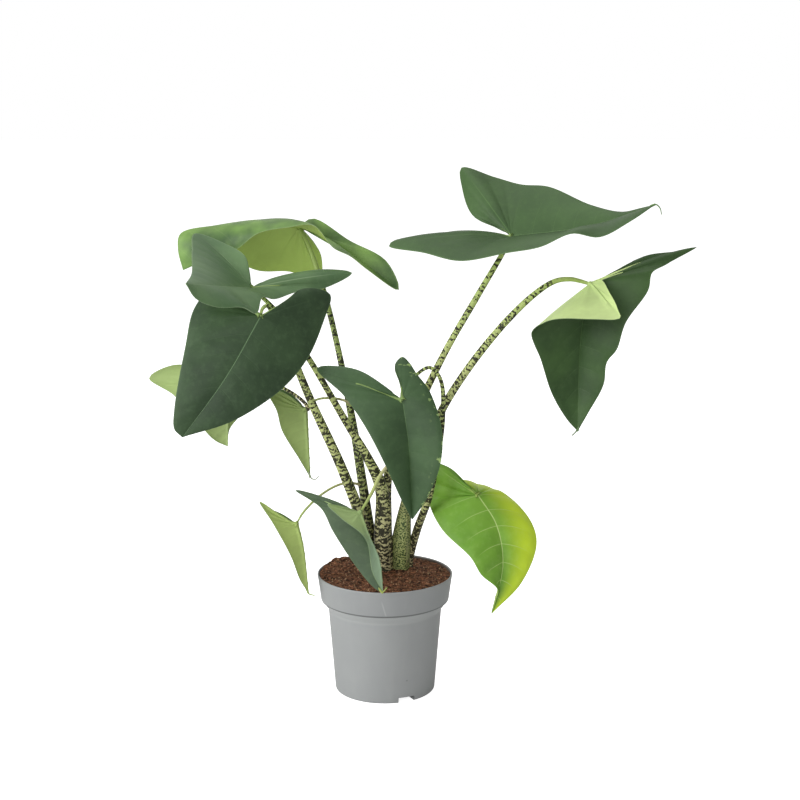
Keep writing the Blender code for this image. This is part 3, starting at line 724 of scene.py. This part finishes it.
# each blade's points are millimetres from its joint: the rib, and each half's notch, lobe tip and outer edge
blades = dict(
    upper_right=dict(
        joint=(157, 40, 571), rib=[(85, -48, 16), (162, -95, 47)], bow=0.05,
        left=dict(notch=[(-19, 12, 10), (-47, 42, 22), (-59, 72, 51)], lobe=(-60, 88, 79),
                  edge=[(-18, 76, 68), (14, 58, 60), (47, 32, 59), (94, -22, 41), (128, -62, 36),
                        (147, -83, 42)]),
        right=dict(notch=[(-20, 2, -4), (-64, 12, -3), (-79, 18, 3), (-94, 16, 1), (-123, 10, -3),
                          (-146, 2, -5)], lobe=(-152, -8, -11),
                   edge=[(-111, -32, -16), (-66, -60, -23), (-12, -82, -11), (27, -98, -2), (64, -100, 14),
                         (96, -104, 10), (130, -102, 27)]),
        dark=(0.0368, 0.0782, 0.023), mid=(0.0517, 0.1058, 0.031),
        vein=(0.12, 0.22, 0.07), under=(0.28, 0.4, 0.14), lines=(0.45, 0.35, 0.12),
        tip=[(156, -93, 44.8), (162.7, -95, 46.7), (167.3, -96, 42.7), (169.3, -97, 35.2)]),
    far_right=dict(
        joint=(252, 10, 515), rib=[(-8, 14, -59), (-11, 12, -128), (-12, -2, -184)], bow=0.04,
        left=dict(notch=[(30, 4, 15), (68, 10, 34), (104, 14, 39)], lobe=(131, 12, 45),
                  edge=[(95, 2, 26), (74, -10, 16), (69, -16, -5), (42, -18, -45), (32, -18, -78),
                        (21, -10, -96), (18, -8, -124), (1, -2, -160)]),
        right=dict(notch=[(11, -10, 7), (19, -48, -5), (24, -82, -18)], lobe=(24, -102, -28),
                   edge=[(-7, -94, -30), (-41, -76, -32), (-59, -42, -42), (-72, -14, -60), (-59, -4, -94),
                         (-44, 2, -138), (-25, 0, -170)], shoulder=0.5, bow=-0.02),
        dark=(0.0281, 0.0626, 0.0173), mid=(0.0486, 0.1026, 0.027),
        vein=(0.12, 0.2, 0.08), under=(0.58, 0.72, 0.3), lines=(0.3, 0.05, 0.12),
        tip=[(-10.5, -3, -176.9), (-14, -2, -184.1), (-18.8, -1, -189.4)]),
    centre=dict(
        joint=(22, -60, 384), rib=[(7, -6, -51), (12, -16, -144)], bow=0.05,
        left=dict(notch=[(-2, 8, 17), (-9, 22, 36), (-7, 30, 43)], lobe=(0, 33, 48),
                  edge=[(8, 28, 42), (17, 18, 30), (33, 6, 10), (47, -10, -33), (46, -18, -71),
                        (31, -20, -113)]),
        right=dict(notch=[(-26, -2, 21), (-57, 6, 37)], lobe=(-104, 24, 35),
                   edge=[(-71, 2, 6), (-45, -16, -28), (-22, -26, -70), (0, -24, -119)]),
        dark=(0.0315, 0.065, 0.0252), mid=(0.0472, 0.0944, 0.0357),
        vein=(0.13, 0.22, 0.09), under=(0.25, 0.36, 0.12), lines=(0.3, 0.0, 0.04),
        spots=0.8, fleck=(0.3, 0.42, 0.14)),
    front_left=dict(
        joint=(-146, -68, 487), rib=[(-40, -24, -69), (-91, -40, -138)], bow=0.05,
        left=dict(notch=[(19, 10, 4), (48, 38, 28)], lobe=(81, 54, 19),
                  edge=[(74, 40, -10), (55, 16, -53), (24, -8, -87), (-31, -30, -120)]),
        right=dict(notch=[(-13, 10, 10), (-34, 24, 21)], lobe=(-60, 38, 29),
                   edge=[(-80, 14, 8), (-89, -12, -36), (-100, -38, -105), (-100, -41, -128)]),
        dark=(0.0213, 0.0443, 0.018), mid=(0.0377, 0.0738, 0.0295),
        vein=(0.15, 0.25, 0.12), under=(0.25, 0.36, 0.12), lines=(0.6, 0.05, 0.04)),
    upper_left=dict(
        joint=(-162, 0, 512), rib=[(-31, -76, 12), (-62, -142, 24)], bow=0.04,
        left=dict(notch=[(24, 16, 10), (57, 32, 16), (94, 43, 18)], lobe=(122, 46, 13),
                  edge=[(90, 26, -3), (57, 2, -4), (31, -30, -9), (18, -50, -4), (13, -88, -18),
                        (-1, -102, -9), (-28, -122, -6), (-51, -138, 6)]),
        right=dict(notch=[(-3, 9, 20), (-9, 18, 37), (-33, 32, 50)], lobe=(-71, 40, 63),
                   edge=[(-70, -8, 47), (-62, -84, 29)]),
        dark=(0.0756, 0.1428, 0.0605), mid=(0.1176, 0.2016, 0.0874),
        vein=(0.26, 0.36, 0.2), under=(0.3, 0.42, 0.15), lines=(0.5, 0.7, 0.08)),
    top_left=dict(
        joint=(-110, 110, 576), bow=0.05,
        rib=[(-46, -6, 9), (-105, -13, 3), (-149, -19, -7), (-152, -24, -27), (-146, -26, -53)],
        left=dict(notch=[(18, -6, 11), (66, -22, -16), (112, -36, -40)], lobe=(128, -44, -75),
                  edge=[(89, -54, -48), (68, -57, -31), (47, -60, -20), (22, -60, 8), (-8, -62, 6),
                        (-47, -60, -2), (-75, -52, -23), (-120, -38, -41)]),
        right=dict(notch=[(16, 14, -18), (27, 32, -42)], lobe=(22, 48, -78),
                   edge=[(-14, 52, -64), (-57, 50, -62), (-98, 36, -42), (-131, 8, -34)]),
        dark=(0.0425, 0.0892, 0.0306), mid=(0.19, 0.33, 0.075), vein=(0.3, 0.42, 0.16),
        under=(0.3, 0.42, 0.09), lines=(0.35, 0.05, 0.15)),
    hidden_left=dict(
        joint=(-196, -10, 397), rib=[(4, -8, -40), (4, -15, -78)], bow=0.05,
        left=dict(notch=[(-25, 4, 14), (-62, 10, 20)], lobe=(-95, 16, 2),
                  edge=[(-64, 4, -17), (-40, -8, -40), (-13, -17, -69)]),
        right=dict(notch=[(9, 12, 10)], lobe=(27, 28, 27),
                   edge=[(37, 18, 2), (25, 2, -33), (6, -12, -58)]),
        dark=(0.08, 0.15, 0.04), mid=(0.11, 0.2, 0.05), vein=(0.25, 0.36, 0.14),
        under=(0.328, 0.426, 0.164)),
    small_left=dict(
        joint=(-99, 20, 356), rib=[(2, -3, -35), (5, -8, -85)], bow=0.05,
        left=dict(notch=[(-9, -2, 9), (-28, -10, 25)], lobe=(-49, -16, 32),
                  edge=[(-35, -20, 3), (-29, -18, -22), (-9, -12, -59)]),
        right=dict(notch=[(-8, 7, 10), (-21, 14, 19)], lobe=(-38, 22, 24),
                   edge=[(-18, 28, -1), (-7, 24, -33), (2, 4, -68)]),
        dark=(0.05, 0.1, 0.03), mid=(0.08, 0.15, 0.04), vein=(0.2, 0.3, 0.12), under=(0.334, 0.44, 0.158),
        tipTint=(0.3, 0.36, 0.22),
        tip=[(4.1, -9, -77.6), (7.1, -9, -86), (12.7, -9, -86.7), (16.5, -9, -82.2)]),
    low_left=dict(
        joint=(-109, -30, 222), rib=[(7, -3, -29), (14, -6, -87)], bow=0.05,
        left=dict(notch=[(-22, -1, 13)], lobe=(-45, -6, 30),
                  edge=[(-28, -16, 5), (-7, -18, -35), (4, -12, -68)]),
        right=dict(notch=[(-13, 10, 6)], lobe=(-35, 22, 14),
                   edge=[(-15, 30, -15), (0, 26, -48), (10, 8, -74)]),
        dark=(0.06, 0.12, 0.03), mid=(0.1, 0.18, 0.04), vein=(0.25, 0.35, 0.12), under=(0.45, 0.58, 0.18),
        tipTint=(0.4, 0.5, 0.2),
        tip=[(11.4, -6, -80.2), (14.5, -7, -87), (21.9, -8, -89.2)]),
    low_front=dict(
        joint=(-30, -55, 243), rib=[(9, -5, -25), (23, -19, -54), (28, -37, -90)], bow=0.04,
        left=dict(notch=[(-18, -9, 11)], lobe=(-39, -19, 16),
                  edge=[(-23, -27, 1), (7, -29, -25), (15, -37, -63)]),
        right=dict(notch=[(-31, 5, 14)], lobe=(-80, 19, 24),
                   edge=[(-48, 8, 4), (-33, -3, -22), (-7, -17, -59), (17, -33, -84)]),
        dark=(0.045, 0.0765, 0.0378), mid=(0.0675, 0.108, 0.054), vein=(0.2, 0.3, 0.14),
        under=(0.378, 0.504, 0.216), underLow=(0.3, 0.42, 0.27), tipTint=(0.32, 0.38, 0.09),
        lines=(0.3, 0.0, 0.03),
        tip=[(23.7, -36, -83.6), (26.7, -37, -89), (30.3, -38, -86.2), (33.3, -39, -82.1)]),
    low_right=dict(
        joint=(116, -10, 254), rib=[(22, -18, -33), (30, -32, -79), (17, -32, -144)], bow=0.06,
        left=dict(notch=[(-9, 20, 4)], lobe=(-23, 42, 10),
                  edge=[(11, 46, 0), (40, 32, -9), (68, 2, -36), (73, -14, -61), (54, -28, -105)]),
        right=dict(notch=[(-16, 4, 15), (-37, 13, 33)], lobe=(-56, 17, 36),
                   edge=[(-62, 20, -8), (-46, -14, -39), (-10, -44, -68), (3, -44, -90), (24, -40, -110),
                         (22, -36, -125)]),
        dark=(0.12, 0.27, 0.025), mid=(0.17, 0.34, 0.035), vein=(0.45, 0.6, 0.2), under=(0.3, 0.42, 0.1),
        lines=(0.9, 0.35, 0.5), leftTint=(0.5, 0.66, 0.03), quilt=1.9))

grain = dict(
    thick=0.7, ribHeight=2.4, costaHeight=1.7, lateralHeight=0.45, notchVeins=3, lobeVeins=3, edgeVeins=7,
    perVein=7, perSpan=24, rows=22, sweep=0.45, shoulder=0.3, quilt=0.5, rolled=0.6, tipThick=2.5,
    slack=0.998)  # slack keeps the wavy skin within the size of the solid


def halfBlade(blade, side):
    # spots[column][row] over one half, out from the rib, with each spot's place among the veins
    half = blade[side]
    perSpan = grain["perSpan"]
    route = [(0, 0, 0), *half["notch"], half["lobe"], *half["edge"], blade["rib"][-1]]
    margin = curveThrough(route, perSpan)
    lobeAt = perSpan * (len(half["notch"]) + 1)
    shoulder = half.get("shoulder", grain["shoulder"])
    counts = [grain[key] * grain["perVein"] for key in ("notchVeins", "lobeVeins", "edgeVeins")]
    onRib = np.linspace(0, 1, counts[2] + 1)[1:]
    notch = pointsAt(margin[:lobeAt + 1], np.linspace(0, 1, counts[0] + 1))
    lobe = pointsAt(margin[lobeAt:], np.linspace(0, shoulder, counts[1] + 1)[1:])
    edge = pointsAt(margin[lobeAt:], shoulder + (1 - shoulder) * onRib)
    rib = pointsAt(curveThrough([(0, 0, 0), *blade["rib"]], perSpan), onRib)
    outer = np.concatenate([notch, lobe, edge])
    inner = np.concatenate([np.zeros_like(notch), np.zeros_like(lobe), rib])
    turn = np.arange(len(outer)) / grain["perVein"]
    reach = outer - inner
    span = np.linalg.norm(reach, axis=1)
    travel = np.gradient(outer, axis=0)
    sign = 1 if side == "right" else -1
    normal = np.cross(reach, travel) * sign
    normal /= np.maximum(np.linalg.norm(normal, axis=1), 1e-9)[:, None]
    shares = np.linspace(0, 1, grain["rows"] + 1) ** 1.4
    shoulderAt = grain["notchVeins"] + grain["lobeVeins"]
    spots = np.zeros((len(outer), len(shares), 3))
    at = np.zeros_like(spots)
    quilt = blade.get("quilt", grain["quilt"])
    for row, share in enumerate(shares):
        lift = half.get("bow", blade["bow"]) * span * 4 * share * (1 - share)
        swept = turn - grain["sweep"] * share ** 2 * np.clip(turn - shoulderAt, 0, 1)
        pillow = np.sin(np.pi * (swept % 1.0)) ** 0.8 * np.minimum(1, span / 40)
        lift = lift + quilt * pillow * np.clip(share * 4, 0, 1) * np.clip((1 - share) * 6, 0, 1)
        lift = lift - grain["rolled"] * np.clip((share - 0.88) / 0.12, 0, 1) ** 2
        spots[:, row] = inner + reach * share + normal * lift[:, None]
        at[:, row] = np.stack([swept, np.full_like(turn, share), np.full_like(turn, sign)], 1)
    perTurn = np.linalg.norm(np.gradient(spots, axis=0), axis=2) * grain["perVein"]
    size = np.stack([perTurn, np.repeat(span[:, None], len(shares), 1), np.zeros_like(perTurn)], 2)
    return spots * grain["slack"] + np.array(blade["joint"], float), at, size


def bladeThickness(at, size):
    # thickness in millimetres: the ribs stand out on the underside
    turn, share, perTurn, span = at[..., 0], at[..., 1], size[..., 0], size[..., 1]
    first = grain["notchVeins"] + grain["lobeVeins"]
    whole = first + grain["edgeVeins"]
    onRib = np.clip((turn - first) / (whole - first), 0, 1)
    thick = grain["thick"] + grain["ribHeight"] * (1 - onRib * 0.85) * np.exp(-(share * span / 1.7) ** 2)
    costa = np.abs(turn - grain["notchVeins"]) * perTurn
    thick = thick + grain["costaHeight"] * np.clip(1 - share, 0, 1) ** 0.8 * np.exp(-(costa / 1.5) ** 2)
    lateral = np.abs((turn + 0.5) % 1.0 - 0.5) * perTurn
    thick = thick + grain["lateralHeight"] * np.clip(1.1 - share, 0, 1) * np.exp(-(lateral / 1.2) ** 2)
    return thick


def bladeSkin(name, blade, under):
    paint = Paint(("underside " if under else "upper side ") + name, specular=0.2 if under else 0.28)
    at = paint.objectAt()
    turn, across, side = paint.noted("bladeAt").parts()
    perTurn, span, _ = paint.noted("bladeSize").parts()
    first = grain["notchVeins"] + grain["lobeVeins"]
    whole = first + grain["edgeVeins"]
    taper = turn.ramp(first, whole, 1.0, 0.4)
    rib = (across * span / taper).ramp(1.05, 0.3)
    costa = (abs(turn - grain["notchVeins"]) * perTurn).ramp(0.9, 0.2) * across.ramp(0.95, 0.4)
    lateral = abs((turn + 0.5).maths("FRACT") - 0.5) * perTurn
    lateral = lateral.ramp(0.8, 0.15) * across.ramp(0.9, 0.25) * turn.ramp(first - 0.6, first + 0.4)
    cloud = paint.noise(at, 17, 3)
    mottle = paint.noise(at, 130, 4, 0.6)
    veinlets = paint.noise(at, 420, 3)
    ribTint, costaTint, lateralTint = blade.get("lines", (0.5, 0.05, 0.05))
    if under:
        colour = paint.blend(cloud.ramp(0.35, 0.65), blade["under"], [c * 0.85 for c in blade["under"]])
        colour = paint.blend(mottle.ramp(0.4, 0.7) * 0.15, colour, [c * 1.2 for c in blade["under"]])
        if "underLow" in blade:  # greyer towards the hanging end
            colour = paint.blend(at.parts()[2].ramp(0.235, 0.2), colour, blade["underLow"])
        veins = rib * 0.5 + costa * 0.25 + lateral * 0.18
        colour = paint.blend(veins, colour, [c * 0.6 for c in blade["under"]])
        return paint.surface(colour, 0.5 + mottle * 0.15, veinlets * 0.4 + lateral * 0.5, 0.0003, 0.5)
    colour = paint.blend(cloud.ramp(0.3, 0.7), blade["dark"], blade["mid"])
    if "leftTint" in blade:
        tint = (0 - side * across).ramp(0.0, 0.75) * (0.7 + cloud * 0.5)
        colour = paint.blend(tint, colour, blade["leftTint"])
    colour = paint.blend(mottle.ramp(0.45, 0.75) * 0.1, colour, blade["vein"])
    if "spots" in blade:  # pale flecks near the left half's margin
        fleck = paint.noise(at, 120, 2).ramp(0.62, 0.68) * (0 - side * across).ramp(0.66, 0.97)
        colour = paint.blend(fleck * blade["spots"], colour, blade["fleck"])
    colour = paint.blend(across.ramp(0.975, 0.997) * 0.3, colour, blade["vein"])
    colour = paint.blend(costa * costaTint + lateral * lateralTint, colour, blade["vein"])
    colour = paint.blend(rib * ribTint, colour, blade["vein"])
    roughness = 0.42 + mottle * 0.12 + cloud * 0.06
    height = 0 - rib * 0.8 - costa * 0.5 - lateral * 0.4 + veinlets * 0.35 + mottle * 0.5
    return paint.surface(colour, roughness, height, 0.0004, 0.5)


def rimSkin(name, blade):
    paint = Paint("margin " + name)
    mottle = paint.noise(paint.objectAt(), 300, 2)
    pale = [0.6 * c + 0.05 for c in blade["vein"]]
    return paint.surface(paint.blend(mottle, pale, blade["vein"]))


def dripTip(name, blade):
    # the thread that the blade's apex runs out into
    joint = np.array(blade["joint"], float)
    spots = [np.multiply(blade["rib"][-1], grain["slack"]), *blade["tip"]]
    if np.linalg.norm(np.subtract(spots[0], spots[1])) < 1.5:  # the tip starts at the apex itself
        spots = spots[1:]
    route = [(*(joint + spot), grain["tipThick"] * (1 - 0.15 * step)) for step, spot in enumerate(spots)]
    tip = tube("tip_" + name, route, 8, 5, caps=2)
    paint = Paint("drip tip " + name)
    fresh = blade.get("tipTint", blade["vein"])
    mottle = paint.noise(paint.objectAt(), 300, 2)
    tip.data.materials.append(paint.surface(paint.blend(mottle, fresh, [c * 0.8 for c in fresh])))
    return tip


def slotOf(node):
    for subpart in frame["record"]["subparts"]:
        if subpart["node"] == node:
            return subpart["material_slot"]


def makeBlades():
    most = grain["thick"] + grain["ribHeight"] + grain["costaHeight"]
    for name, blade in blades.items():
        halves = []
        for side in ("left", "right"):
            spots, at, size = halfBlade(blade, side)
            obj, column, row = gridSheet("blade_" + name, spots * mm)
            note(obj, "bladeAt", at[column, row], "CORNER")
            note(obj, "bladeSize", size[column, row], "CORNER")
            thick = bladeThickness(at, size)[column, row]
            group = obj.vertex_groups.new(name="thick")
            for index, value in enumerate(np.clip((thick - grain["thick"]) / (most - grain["thick"]), 0, 1)):
                group.add([index], float(value), "REPLACE")
            if side == "right":
                editing(obj)
                bpy.ops.mesh.flip_normals()
                doneEditing()
            halves.append(obj)
        obj = joined("blade_" + name, *halves)
        mergeDoubles(obj, 0.00002)
        obj.data.materials.clear()
        obj.data.materials.append(bladeSkin(name, blade, False))
        obj.data.materials.append(bladeSkin(name, blade, True))
        obj.data.materials.append(rimSkin(name, blade))
        modify(obj, "SOLIDIFY", thickness=most * mm, offset=-1, vertex_group="thick",
               thickness_vertex_group=grain["thick"] / most, material_offset=1, material_offset_rim=2)
        smooth(obj, 50)
        if "tip" in blade:
            tip = dripTip(name, blade)
            smooth(tip, 60)
            obj = joined("blade_" + name, obj, tip)
        place(obj, "leaf_" + name, slotOf("leaf_" + name))
    print("blades:", len(blades))


makeCamera()
makeLight()
makeFloor()
print("studio ready")
makePot()
makeMix()
makeStalks()
makeBlades()
